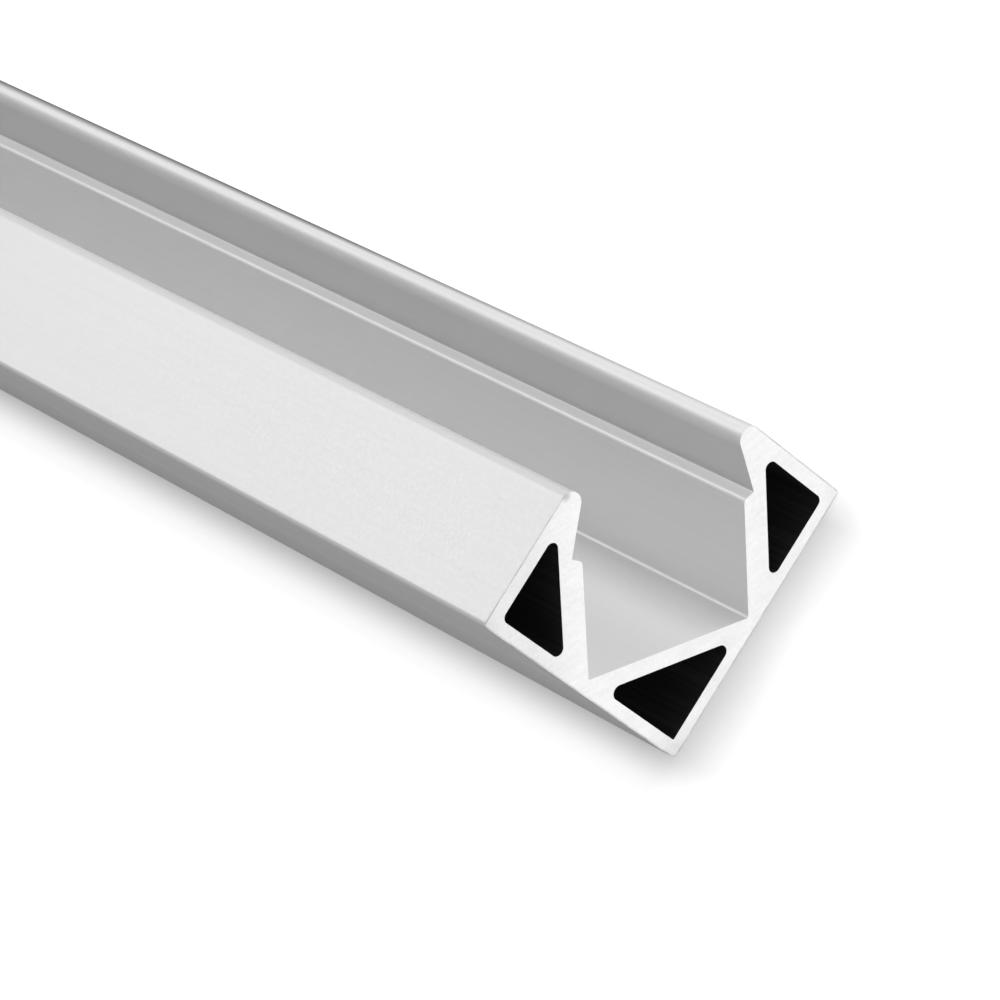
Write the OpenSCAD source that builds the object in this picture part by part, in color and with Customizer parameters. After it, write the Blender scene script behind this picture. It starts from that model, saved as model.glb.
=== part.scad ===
// Corner profile for LED strip: one extruded aluminium bar.
// It lies on its lower back wall, with its length along X and its channel opening towards +Y and +Z.
// The origin is the middle of the face that it lies on. Every size is in millimetres.

/* [Stock] */
// Length that the bar is sold in
stock_length = 1000; // [100:50:3000]
// Outer width of each back wall, from the back corner to the front edge
leg = 19; // [18:0.5:24]

/* [Walls] */
// Thickness of the two back walls, behind the chambers
back_wall = 0.9; // [0.7:0.05:1.2]
// Thickness of the two front walls, over the side chambers
front_wall = 1; // [0.8:0.05:1.3]
// Thickness of the channel floor, over the back chamber
floor_wall = 1.1; // [0.8:0.05:1.5]
// Thickness of each channel side, beside its chamber
side_wall = 1.7; // [1.4:0.05:2]

/* [Channel] */
// Width between the channel sides, where the strip lies
channel_w = 12.2; // [10.5:0.1:12.6]
// Least thickness left between the channel's inner corners and the back walls
corner_wall = 0.92; // [0.8:0.02:1.2]
// Height of the groove's bottom edge above the channel floor
groove_h = 8.1; // [6.5:0.1:9]
// Depth of the groove, measured from the channel side
groove_depth = 0.76; // [0.4:0.02:0.9]
// Fall of the groove's ledge towards the channel, in degrees
ledge_fall = 25; // [10:1:40]
// Lean of the lip above the groove over the channel, in degrees
lip_lean = 15; // [10:1:20]

/* [Edges] */
// Radius of the back corner
back_r = 0.7; // [0.2:0.05:1]
// Radius of the two outer edges
outer_r = 0.3; // [0.1:0.05:0.8]
// Radius of the two lip ends
tip_r = 0.8; // [0.5:0.05:1]
// Radius of the ledge's inner edge
ledge_r = 0.35; // [0.1:0.05:0.45]
// Radius at the bottom of the groove
groove_r = 0.12; // [0.05:0.01:0.2]
// Radius of the channel's inner corners
channel_r = 0.15; // [0.05:0.01:0.3]
// Radius of the side chambers' corners
side_chamber_r = 0.45; // [0.2:0.05:0.6]
// Radius of the back chamber's two sharp corners
back_chamber_r = 0.5; // [0.2:0.05:0.7]
// Radius of the back chamber's square corner
square_corner_r = 0.1; // [0.05:0.01:0.5]

/* [Hidden] */
arc_fn = 48;
diagonal = sqrt(2);

// The section is symmetric about its diagonal. A point is [across, up]: across the channel
// from that diagonal, and up from the back corner along it.
half_channel = channel_w / 2;
floor_up = half_channel + corner_wall * diagonal;
groove_up = floor_up + groove_h;
groove_across = half_channel + groove_depth;
ledge_up = groove_up - groove_depth * tan(ledge_fall);
// The lip's inner face meets the outer face at the lip apex, where tip_r rounds it off.
apex_up = (leg * diagonal - groove_across - groove_up * tan(lip_lean)) / (1 - tan(lip_lean));
apex_across = leg * diagonal - apex_up;
chamber_across = half_channel + side_wall;
chamber_up = floor_up - floor_wall;

// A point [across, up] in the bar's own axes, measured from the back corner.
function seat(p) = [(p[1] + p[0]) / diagonal, (p[1] - p[0]) / diagonal];
function swapped(p) = [p[1], p[0]];
function reversed(list) = [for (i = [len(list) - 1:-1:0]) list[i]];
function unit(v) = v / norm(v);
function turn(a, b, c) = (b[0] - a[0]) * (c[1] - b[1]) - (b[1] - a[1]) * (c[0] - b[0]);

// Centre of the circle of radius r that touches both edges of the corner b, between a and c.
function round_centre(a, b, c, r) =
    let (u = unit(a - b), v = unit(c - b))
    b + unit(u + v) * r / sin(acos(u * v) / 2);
// Point of the edge from b to c that the circle about centre touches.
function touch(b, c, centre) = b + unit(c - b) * ((centre - b) * unit(c - b));

// Area inside the points, taken anticlockwise, with each corner rounded to its own radius.
module rounded(points, radii) {
    n = len(points);
    before = [for (i = [0:n - 1]) points[(i + n - 1) % n]];
    after = [for (i = [0:n - 1]) points[(i + 1) % n]];
    centres = [for (i = [0:n - 1]) round_centre(before[i], points[i], after[i], radii[i])];
    outward = [for (i = [0:n - 1]) turn(before[i], points[i], after[i]) > 0];
    difference() {
        union() {
            polygon([
                for (i = [0:n - 1])
                    each [touch(points[i], before[i], centres[i]), touch(points[i], after[i], centres[i])]
            ]);
            for (i = [0:n - 1]) if (outward[i]) translate(centres[i]) circle(r = radii[i], $fn = arc_fn);
        }
        for (i = [0:n - 1]) if (!outward[i]) translate(centres[i]) circle(r = radii[i], $fn = arc_fn);
    }
}

// One half of the outline, from the lower outer edge round the lip to the channel's inner corner.
half_outline = [
    [leg, 0],
    seat([apex_across, apex_up]),
    seat([groove_across, groove_up]),
    seat([half_channel, ledge_up]),
    seat([half_channel, floor_up])
];
half_radii = [outer_r, tip_r, groove_r, ledge_r, channel_r];

module outline() {
    rounded(
        concat([[0, 0]], half_outline, reversed([for (p = half_outline) swapped(p)])),
        concat([back_r], half_radii, reversed(half_radii))
    );
}

// Chamber behind the channel floor, a right triangle in the back corner.
module back_chamber() {
    reach = chamber_up * diagonal - back_wall;
    rounded(
        [[back_wall, back_wall], [reach, back_wall], [back_wall, reach]],
        [square_corner_r, back_chamber_r, back_chamber_r]
    );
}

// Chamber beside the lower channel side, a right triangle in the lower outer edge.
module side_chamber() {
    slant = chamber_across * diagonal;
    front = leg - front_wall;
    rounded(
        [[slant + back_wall, back_wall], [front, back_wall], [front, front - slant]],
        [side_chamber_r, side_chamber_r, side_chamber_r]
    );
}

module section() {
    difference() {
        outline();
        back_chamber();
        side_chamber();
        // The other side chamber is the first one's mirror image in the diagonal.
        mirror([1, -1]) side_chamber();
    }
}

module profile() {
    color([0.80, 0.81, 0.82])
        translate([-stock_length / 2, -leg / 2, 0])
            rotate([90, 0, 90])
                linear_extrude(height = stock_length) section();
}

profile();
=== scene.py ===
"""Looks of the corner profile for LED strip: satin anodised aluminium with sawn ends, on a pale floor."""

import math

import bpy
from mathutils import Matrix, Vector


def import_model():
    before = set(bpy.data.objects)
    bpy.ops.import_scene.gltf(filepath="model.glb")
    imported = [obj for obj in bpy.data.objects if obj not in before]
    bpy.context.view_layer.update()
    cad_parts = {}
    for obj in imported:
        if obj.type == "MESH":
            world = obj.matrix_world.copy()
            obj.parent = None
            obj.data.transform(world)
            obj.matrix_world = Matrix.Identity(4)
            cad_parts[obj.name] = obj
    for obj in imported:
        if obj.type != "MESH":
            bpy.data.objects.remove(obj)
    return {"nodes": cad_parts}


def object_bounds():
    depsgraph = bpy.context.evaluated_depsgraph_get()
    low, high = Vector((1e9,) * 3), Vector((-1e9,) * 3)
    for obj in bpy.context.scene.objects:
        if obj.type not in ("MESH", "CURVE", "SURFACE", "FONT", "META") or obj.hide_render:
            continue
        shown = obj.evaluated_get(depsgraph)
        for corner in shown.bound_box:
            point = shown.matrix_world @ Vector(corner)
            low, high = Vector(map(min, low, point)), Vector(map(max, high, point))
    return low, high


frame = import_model()
cad_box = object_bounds()

MM = 0.001

# Camera, in the part's own frame, with its places in metres. The bar lies on its lower back wall, and
# the roll turns the picture so that its channel opens upwards, as in the photograph.
CAMERA_AT = (0.7080, -0.0254, 0.2108)
CAMERA_TARGET = (0.4923, -0.0022, 0.0161)
CAMERA_ROLL_DEG = -54.0
CAMERA_LENS_MM = 177.3
SENSOR_MM = 36.0
CAMERA_NEAR = 0.01
CAMERA_FAR = 50.0

# The bar's own sizes, in millimetres, taken from the frame.
LEG = (cad_box[1][2] - cad_box[0][2]) / MM
HALF_LENGTH = cad_box[1][0] / MM

# Limits in the section that tell its faces apart, in millimetres from the back corner: up runs
# along the section's diagonal, and across is the distance from it. The limits round the chambers
# lie inside the walls. A point less than END_SKIN from the plane of an end counts as part of it.
CHAMBER_EDGE = 0.45
BACK_CHAMBER_UP = 6.85
SIDE_CHAMBER_ACROSS = 7.3
INNER_CORNER_UP = 7.55
INNER_CORNER_ACROSS = 5.95
LEDGE_UP = 15.0
GROOVE_UP = 15.5
LIP_ACROSS = 7.05
LIP_ROUND_UP = 19.1
END_SKIN = 0.01

# The floor, with its size in metres, and how bright it is to each kind of ray.
FLOOR_HALF = 4.0
FLOOR_DROP = 0.02 * MM
FLOOR_SEEN_COLOUR = 0.4
FLOOR_SEEN_GLOW = 0.88
FLOOR_MIRRORED = 0.32
FLOOR_LIGHTING = 0.8

# The bar's contact shadow, painted on the floor by place, beside its upright wall and in front of its
# ends. Least and most are shares of the plain floor's brightness. The width of the shadow is in
# millimetres, and its start, corner and end are shares of that width.
SIDE_SHADOW_WIDTH = 2.5
SIDE_SHADOW_LEAST = 0.394
END_SHADOW_WIDTH = 5.5
END_SHADOW_LEAST = 0.516
SHADOW_MOST = 0.9
SHADOW_START = -0.33
SHADOW_CORNER = 0.3
SHADOW_END = 1.5
# Millimetres past the end's plane, between which the shadow's depth changes from side to end.
SHADOW_TURNS_FROM = -3.0
SHADOW_TURNS_TO = 1.0
# Millimetres past the lower front face, between which the shadow fades out on the lit side.
SHADOW_FADES_FROM = -2.1
SHADOW_FADES_TO = 1.6

# Strength of the light that comes from all round. The camera sees plain white there.
STUDIO_LIGHT = 0.45
WHITE = (1, 1, 1, 1)

# Finish of the long faces. A tone is how much brighter a place gets, as a share, and a shade how
# much darker. The tone of a pattern goes both ways. The scale of a pattern is in turns per metre, and
# its stretch is the share of that scale that is left along the bar.
SATIN = (0.80, 0.80, 0.805, 1)
SATIN_METALLIC = 0.42
SATIN_ROUGHNESS = 0.48
GRAIN_ROUGHNESS = 0.03
LINE_TONE = 0.012
LINE_SCALE = 5200.0
LINE_STRETCH = 0.004
CLOUD_TONE = 0.012
CLOUD_SCALE = 90.0
CLOUD_STRETCH = 0.3
GRAIN_TONE = 0.006
GRAIN_SCALE = 4200.0
# The ledge's tone is painted light.
LEDGE_PAINTED_LIGHT = 0.165
# The inner corner's tone is a painted highlight.
INNER_CORNER_HIGHLIGHT = 0.2
UNDER_LIP_SHADE = 0.24
# Painted shade inside the chambers: the darker and the paler grey.
CHAMBER_SHADE_DARK = (0.022, 0.022, 0.022, 1)
CHAMBER_SHADE_PALE = (0.045, 0.045, 0.045, 1)

# The painted shade under the lips starts within UNDER_LIP_START millimetres of GROOVE_UP, and fades out
# over the last UNDER_LIP_FADE millimetres below LIP_ROUND_UP.
UNDER_LIP_START = 0.1
UNDER_LIP_FADE = 0.5

# The lower lip's round, in millimetres, with a painted highlight on its bright half and painted shade
# on its shoulder. It starts between LIP_ROUND_FROM and LIP_ROUND_TO above LIP_ROUND_UP. The limits of
# its bright half and its dark shoulder are measured back from the front face. The last three are
# distances from the end, over which the painted shade on the shoulder gets wider and darker.
LIP_ROUND_HIGHLIGHT = 0.14
LIP_ROUND_FROM = 0.1
LIP_ROUND_TO = 0.3
BRIGHT_HALF_FROM = 0.75
BRIGHT_HALF_TO = 0.5
SHOULDER_SHADE = 0.88
SHOULDER_AT_END = 0.28
SHOULDER_FAR_AWAY = 0.58
SHOULDER_DARKEST = 0.14
SHOULDER_WIDENS_FROM = 5.0
SHOULDER_WIDENS_TO = 75.0
SHOULDER_DARKENS_TO = 45.0

# Finish of the sawn ends, with places and widths in millimetres. BLOTCH_SCALE is in turns per metre.
# TEETH_SCALE is in turns per millimetre across the saw's arcs, and TEETH_STRETCH is the share of it
# that is left along them.
SAWN = (0.90, 0.90, 0.90, 1)
SAWN_METALLIC = 0.15
SAWN_EXTRA_ROUGHNESS = 0.12
SAWN_GRAIN_TONE = 0.03
BLOTCH_TONE = 0.025
BLOTCH_SCALE = 700.0
TEETH_TONE = 0.035
TEETH_SCALE = 3.2
TEETH_STRETCH = 0.12
SAW_AXIS_UP = 130.0
SAW_AXIS_ASIDE = 30.0
# Painted shade: the end gets darker towards its upper side between these two places aside.
UPPER_SIDE_SHADE = 0.11
UPPER_SIDE_FROM = -6.5
UPPER_SIDE_TO = -10.0
# The end's three outer corners are darker, by a share that varies. The first pair of limits
# is up, and the second across.
BACK_CORNER_FROM = 2.2
BACK_CORNER_TO = 0.4
OUTER_CORNERS_FROM = 12.2
OUTER_CORNERS_TO = 13.4
CORNER_DARKENING_LEAST = 0.03
CORNER_DARKENING_MOST = 0.2
# Painted shade runs round the end's rim, and the upper lip has a dark spot, darkest in its core.
RIM_SHADE_WIDTH = 0.12
RIM_SHADE_LEAST = 0.15
RIM_SHADE_MOST = 0.45
TIP_SPOT_Y = 8.9
TIP_SPOT_Z = 18.85
TIP_SPOT_RADIUS = 0.45
TIP_SPOT_CORE = 0.1
TIP_SPOT_DARKNESS = 0.35

# Heights of the patterns in the surface's relief, as shares, and how the bump shows them. Its
# distance is in metres.
GRAIN_HEIGHT = 0.6
LINE_HEIGHT = 0.5
TEETH_HEIGHT = 2.0
BUMP_STRENGTH = 0.06
BUMP_DISTANCE = 0.02 * MM

# The range that a noise texture keeps to nearly everywhere.
NOISE_LOW = 0.3
NOISE_HIGH = 0.7

# Sockets of the Mix node's colour kind. The names of A, B and Result aren't unique on it.
MIX_FACTOR = 0
MIX_A = 6
MIX_B = 7
MIX_RESULT = 2


def place(thing, at, target, roll_deg=0.0):
    """Puts a camera or a lamp at a point, facing the target, and upright before the roll."""
    view = Vector(target) - Vector(at)
    turn = view.to_track_quat("-Z", "Y").to_matrix().to_4x4()
    roll = Matrix.Rotation(math.radians(roll_deg), 4, "Z")
    thing.matrix_world = Matrix.Translation(at) @ turn @ roll


def add(name, data):
    thing = bpy.data.objects.new(name, data)
    bpy.context.scene.collection.objects.link(thing)
    return thing


class Nodes:
    """Builds a node tree, one call for each step."""

    def __init__(self, tree):
        self.tree = tree
        tree.nodes.clear()

    def put(self, socket, value):
        """Links a node's output to the socket, or sets a constant on it."""
        if isinstance(value, bpy.types.NodeSocket):
            self.tree.links.new(value, socket)
        else:
            socket.default_value = value

    def add(self, kind, inputs=None, **settings):
        node = self.tree.nodes.new("ShaderNode" + kind)
        for key, value in settings.items():
            setattr(node, key, value)
        for key, value in (inputs or {}).items():
            self.put(node.inputs[key], value)
        return node

    def math(self, operation, *values):
        return self.add("Math", dict(enumerate(values)), operation=operation).outputs[0]

    def times(self, first, *others):
        for other in others:
            first = self.math("MULTIPLY", first, other)
        return first

    def plus(self, first, *others):
        for other in others:
            first = self.math("ADD", first, other)
        return first

    def minus(self, first, *others):
        for other in others:
            first = self.math("SUBTRACT", first, other)
        return first

    def least(self, a, b):
        return self.math("MINIMUM", a, b)

    def most(self, a, b):
        return self.math("MAXIMUM", a, b)

    def size(self, value):
        """The value without its sign."""
        return self.math("ABSOLUTE", value)

    def distance(self, a, b):
        """Length of the line whose two parts, square to each other, are a and b."""
        return self.math("SQRT", self.plus(self.times(a, a), self.times(b, b)))

    def above(self, value, limit):
        return self.math("GREATER_THAN", value, limit)

    def below(self, value, limit):
        return self.math("LESS_THAN", value, limit)

    def between(self, value, low, high):
        return self.times(self.above(value, low), self.below(value, high))

    def ramp(self, value, low, high, to_low=0.0, to_high=1.0, kind="LINEAR"):
        """From to_low to to_high while the value goes from low to high, and level beyond them."""
        inputs = {"Value": value, "From Min": low, "From Max": high, "To Min": to_low, "To Max": to_high}
        return self.add("MapRange", inputs, interpolation_type=kind).outputs["Result"]

    def smooth_ramp(self, *values):
        """A ramp that starts and ends gently."""
        return self.ramp(*values, kind="SMOOTHSTEP")

    def choose(self, factor, a, b):
        """Number a where the factor is 0, number b where it is 1."""
        return self.ramp(factor, 0.0, 1.0, a, b)

    def spread(self, noise, least, most):
        """Spreads a noise texture's usual range from least to most."""
        return self.ramp(noise, NOISE_LOW, NOISE_HIGH, least, most)

    def vary(self, noise, tone):
        """Spreads a noise texture's usual range from minus the tone to plus the tone."""
        return self.spread(noise, -tone, tone)

    def mix(self, factor, a, b):
        """Colour a where the factor is 0, colour b where it is 1."""
        node = self.add("Mix", {MIX_FACTOR: factor}, data_type="RGBA")
        self.put(node.inputs[MIX_A], a)
        self.put(node.inputs[MIX_B], b)
        return node.outputs[MIX_RESULT]

    def toned(self, colour, value):
        """The colour, made brighter or darker by the value."""
        return self.add("HueSaturation", {"Value": value, "Color": colour}).outputs[0]

    def noise(self, vector, scale, detail=2.0, roughness=0.5):
        inputs = {"Vector": vector, "Scale": scale, "Detail": detail, "Roughness": roughness}
        return self.add("TexNoise", inputs).outputs["Fac"]

    def stretched(self, vector, along):
        """The vector with its X scaled, so that a pattern gets longer along the bar."""
        return self.add("Mapping", {"Vector": vector, "Scale": (along, 1, 1)}).outputs[0]

    def object_place(self):
        return self.add("TexCoord").outputs["Object"]

    def axes(self, vector):
        return self.add("SeparateXYZ", {0: vector}).outputs

    def output(self, kind, surface):
        end = self.add(kind)
        self.tree.links.new(surface, end.inputs["Surface"])


def new_material(name):
    made = bpy.data.materials.new(name)
    made.use_nodes = True
    return made, Nodes(made.node_tree)


def camera():
    data = bpy.data.cameras.new("camera")
    data.lens = CAMERA_LENS_MM
    data.sensor_width = SENSOR_MM
    data.clip_start = CAMERA_NEAR
    data.clip_end = CAMERA_FAR
    thing = add("camera", data)
    place(thing, CAMERA_AT, CAMERA_TARGET, CAMERA_ROLL_DEG)
    bpy.context.scene.camera = thing


def painted_contact_shadow(n):
    """Painted shadow: brightness of the floor close to the bar, as a share of the plain floor's."""
    x, y, _ = n.axes(n.object_place())
    past_end = n.minus(n.times(n.size(x), 1 / MM), HALF_LENGTH)
    aside = n.times(y, 1 / MM)
    past_wall = n.minus(-LEG / 2, aside)
    past_front = n.minus(aside, LEG / 2)
    # 0 at the bar and 1 where its shadow's width ends, with a round corner between wall and end.
    end_share = n.plus(n.times(past_end, 1 / END_SHADOW_WIDTH), SHADOW_CORNER)
    side_share = n.plus(n.times(past_wall, 1 / SIDE_SHADOW_WIDTH), SHADOW_CORNER)
    away = n.minus(n.distance(n.most(end_share, 0.0), n.most(side_share, 0.0)), SHADOW_CORNER)
    least = n.ramp(
        past_end, SHADOW_TURNS_FROM, SHADOW_TURNS_TO, SIDE_SHADOW_LEAST, END_SHADOW_LEAST
    )
    shaded = n.plus(
        n.smooth_ramp(away, SHADOW_START, 1.0, least, SHADOW_MOST),
        n.ramp(away, 1.0, SHADOW_END, 0.0, 1.0 - SHADOW_MOST),
    )
    lit_side = n.ramp(past_front, SHADOW_FADES_FROM, SHADOW_FADES_TO)
    return n.choose(lit_side, shaded, 1.0)


def floor():
    """White to the camera except for the painted contact shadow, and a dimmer grey to the bar's
    reflections.
    """
    mesh = bpy.data.meshes.new("floor")
    signs = ((-1, -1), (1, -1), (1, 1), (-1, 1))
    mesh.from_pydata([(a * FLOOR_HALF, b * FLOOR_HALF, 0) for a, b in signs], [], [(0, 1, 2, 3)])
    thing = add("floor", mesh)
    thing.location.z = -FLOOR_DROP
    made, n = new_material("floor_white")
    path = n.add("LightPath").outputs
    shadow = painted_contact_shadow(n)
    matt = n.add("BsdfDiffuse", {"Color": n.times(shadow, FLOOR_SEEN_COLOUR)})
    glow = n.add("Emission", {"Color": WHITE, "Strength": n.times(shadow, FLOOR_SEEN_GLOW)})
    seen = n.add("AddShader", {0: matt.outputs[0], 1: glow.outputs[0]})
    mirrored = n.most(path["Is Glossy Ray"], path["Is Transmission Ray"])
    unseen = n.add("BsdfDiffuse", {"Color": n.choose(mirrored, FLOOR_LIGHTING, FLOOR_MIRRORED)})
    rays = n.add("MixShader", {0: path["Is Camera Ray"], 1: unseen.outputs[0], 2: seen.outputs[0]})
    n.output("OutputMaterial", rays.outputs[0])
    mesh.materials.append(made)


def world():
    """Soft light from all round, and white to the camera."""
    made = bpy.data.worlds.new("studio")
    made.use_nodes = True
    bpy.context.scene.world = made
    n = Nodes(made.node_tree)
    seen = n.add("LightPath").outputs["Is Camera Ray"]
    sky = n.add("Background", {"Color": WHITE, "Strength": n.choose(seen, STUDIO_LIGHT, 1.0)})
    n.output("OutputWorld", sky.outputs[0])


def lamp(name, at, target, width, height, watts):
    data = bpy.data.lights.new(name, "AREA")
    data.shape = "RECTANGLE"
    data.size = width
    data.size_y = height
    data.energy = watts
    thing = add(name, data)
    thing.visible_camera = False
    place(thing, at, target)


class Section:
    """The shaded point's place, in millimetres: y and z from the back corner, up along the section's
    diagonal, and aside across it, which is negative on the upper side."""

    def __init__(self, n):
        self.point = n.object_place()
        x, y, z = n.axes(self.point)
        self.y = n.plus(n.times(y, 1 / MM), LEG / 2)
        self.z = n.times(z, 1 / MM)
        self.up = n.times(n.plus(self.y, self.z), math.sqrt(0.5))
        self.aside = n.times(n.minus(self.y, self.z), math.sqrt(0.5))
        self.across = n.size(self.aside)
        self.outermost = n.most(self.y, self.z)
        self.from_end = n.minus(HALF_LENGTH, n.times(n.size(x), 1 / MM))
        self.end = n.below(self.from_end, END_SKIN)


def chambers(n, at):
    """1 on the faces inside the three chambers, which get painted shade, 0 elsewhere."""
    inside = n.times(n.above(at.y, CHAMBER_EDGE), n.above(at.z, CHAMBER_EDGE))
    back = n.below(at.up, BACK_CHAMBER_UP)
    side = n.times(n.above(at.across, SIDE_CHAMBER_ACROSS), n.below(at.outermost, LEG - CHAMBER_EDGE))
    return n.times(inside, n.most(back, side), n.above(at.from_end, END_SKIN))


def under_lips(n, at):
    """1 on the undersides of the lips, where shade is painted, 0 elsewhere, with soft edges."""
    return n.times(
        n.ramp(at.up, GROOVE_UP - UNDER_LIP_START, GROOVE_UP + UNDER_LIP_START),
        n.ramp(at.up, LIP_ROUND_UP, LIP_ROUND_UP - UNDER_LIP_FADE),
        n.below(at.across, LIP_ACROSS),
    )


def lower_lip_round(n, at):
    """Where a highlight is painted on the lower lip's round, and shade on its shoulder by the front face.
    """
    top = n.times(
        n.ramp(at.up, LIP_ROUND_UP + LIP_ROUND_FROM, LIP_ROUND_UP + LIP_ROUND_TO),
        n.below(at.across, LIP_ACROSS),
    )
    bright = n.times(top, n.ramp(at.y, LEG - BRIGHT_HALF_FROM, LEG - BRIGHT_HALF_TO))
    shoulder_from = n.ramp(
        at.from_end,
        SHOULDER_WIDENS_FROM,
        SHOULDER_WIDENS_TO,
        LEG - SHOULDER_AT_END,
        LEG - SHOULDER_FAR_AWAY,
    )
    shoulder = n.times(
        top,
        n.ramp(at.y, shoulder_from, LEG - SHOULDER_DARKEST),
        n.ramp(at.from_end, 0.0, SHOULDER_DARKENS_TO),
    )
    return bright, shoulder


def satin_colour(n, at, lines, grain):
    """The long faces: lines, clouds and grain, painted light on ledges and inner corners, painted light
    and shade on the lips.
    """
    cloud = n.noise(n.stretched(at.point, CLOUD_STRETCH), CLOUD_SCALE, detail=3.0)
    # A painted highlight along the channel's inner corner.
    corner_highlight = n.times(
        n.between(at.up, BACK_CHAMBER_UP, INNER_CORNER_UP),
        n.between(at.across, INNER_CORNER_ACROSS, LIP_ACROSS),
    )
    # Painted light on the ledges.
    ledge = n.times(n.between(at.up, LEDGE_UP, GROOVE_UP), n.below(at.across, LIP_ACROSS))
    round_highlight, shoulder = lower_lip_round(n, at)
    tone = n.plus(
        n.vary(lines, LINE_TONE),
        n.vary(cloud, CLOUD_TONE),
        n.vary(grain, GRAIN_TONE),
        n.times(corner_highlight, INNER_CORNER_HIGHLIGHT),
        n.times(ledge, LEDGE_PAINTED_LIGHT),
        n.times(round_highlight, LIP_ROUND_HIGHLIGHT),
    )
    shade = n.plus(n.times(under_lips(n, at), UNDER_LIP_SHADE), n.times(shoulder, SHOULDER_SHADE))
    return n.toned(SATIN, n.minus(n.plus(tone, 1.0), shade))


def saw_teeth(n, at):
    """Wide arcs that the saw's teeth leave on the ends, round a point far above the section."""
    beside_axis = n.plus(at.aside, SAW_AXIS_ASIDE)
    radius = n.distance(n.minus(SAW_AXIS_UP, at.up), beside_axis)
    arcs = n.add("CombineXYZ", {0: radius, 1: n.times(beside_axis, TEETH_STRETCH)}).outputs[0]
    return n.noise(arcs, TEETH_SCALE, detail=4.0, roughness=0.7)


def sawn_colour(n, at, teeth, grain):
    """The ends: saw arcs, blotches and grain, darker corners, a dark spot on the upper lip, painted shade
    round the rim.
    """
    blotch = n.noise(at.point, BLOTCH_SCALE, detail=3.0)
    tone = n.plus(n.vary(teeth, TEETH_TONE), n.vary(blotch, BLOTCH_TONE), n.vary(grain, SAWN_GRAIN_TONE))
    back_corner = n.ramp(at.up, BACK_CORNER_FROM, BACK_CORNER_TO)
    outer_corners = n.ramp(at.across, OUTER_CORNERS_FROM, OUTER_CORNERS_TO)
    darker_corners = n.times(n.most(back_corner, outer_corners), n.spread(blotch, CORNER_DARKENING_LEAST, CORNER_DARKENING_MOST))
    upper_side = n.ramp(at.aside, UPPER_SIDE_FROM, UPPER_SIDE_TO, 0.0, UPPER_SIDE_SHADE)
    from_tip_spot = n.distance(n.minus(at.y, TIP_SPOT_Y), n.minus(at.z, TIP_SPOT_Z))
    tip_spot = n.ramp(from_tip_spot, TIP_SPOT_RADIUS, TIP_SPOT_CORE, 0.0, TIP_SPOT_DARKNESS)
    # Painted shade along the end's rim.
    rim = n.least(n.least(at.y, at.z), n.minus(LEG, at.outermost))
    rim_shade = n.times(n.ramp(rim, RIM_SHADE_WIDTH, RIM_SHADE_WIDTH / 2), n.spread(blotch, RIM_SHADE_LEAST, RIM_SHADE_MOST))
    value = n.minus(n.plus(tone, 1.0), darker_corners, upper_side, tip_spot)
    return n.toned(SAWN, n.times(value, n.minus(1.0, rim_shade)))


def aluminium():
    """Satin anodised aluminium along the bar, sawn aluminium on its ends, and painted shade inside the
    chambers.
    """
    made, n = new_material("anodised_aluminium")
    at = Section(n)
    # Extrusion lines run the whole length, so their pattern hardly changes along the bar.
    lines = n.noise(n.stretched(at.point, LINE_STRETCH), LINE_SCALE, detail=3.0)
    grain = n.noise(at.point, GRAIN_SCALE, roughness=0.6)
    teeth = saw_teeth(n, at)
    colour = n.mix(at.end, satin_colour(n, at, lines, grain), sawn_colour(n, at, teeth, grain))
    # Painted shade inside the chambers, varied with the extrusion lines.
    dark = n.mix(n.spread(lines, 0.0, 1.0), CHAMBER_SHADE_DARK, CHAMBER_SHADE_PALE)
    relief = n.plus(
        n.times(grain, GRAIN_HEIGHT),
        n.times(lines, LINE_HEIGHT),
        n.times(teeth, at.end, TEETH_HEIGHT),
    )
    bump = n.add("Bump", {"Height": relief, "Strength": BUMP_STRENGTH, "Distance": BUMP_DISTANCE})
    sawn_rough = n.times(at.end, SAWN_EXTRA_ROUGHNESS)
    look = {
        "Base Color": n.mix(chambers(n, at), colour, dark),
        "Metallic": n.choose(at.end, SATIN_METALLIC, SAWN_METALLIC),
        "Roughness": n.plus(n.vary(grain, GRAIN_ROUGHNESS), SATIN_ROUGHNESS, sawn_rough),
        "Normal": bump.outputs[0],
    }
    n.output("OutputMaterial", n.add("BsdfPrincipled", look).outputs[0])
    return made


camera()
floor()
world()
lamp("side_lamp", at=(0.40, 0.82, 0.57), target=(0.45, 0.0, 0.01), width=0.4, height=0.3, watts=4.0)
lamp("front_lamp", at=(1.6, 0.0, 0.16), target=(0.5, 0.0, 0.01), width=0.4, height=0.2, watts=7.0)
lamp("back_lamp", at=(-0.40, 0.17, 0.92), target=(0.46, 0.0, 0.01), width=0.5, height=0.5, watts=2.15)

profile = frame["nodes"]["profile"]
profile.data.materials.clear()
profile.data.materials.append(aluminium())

bpy.context.scene.view_settings.view_transform = "Standard"
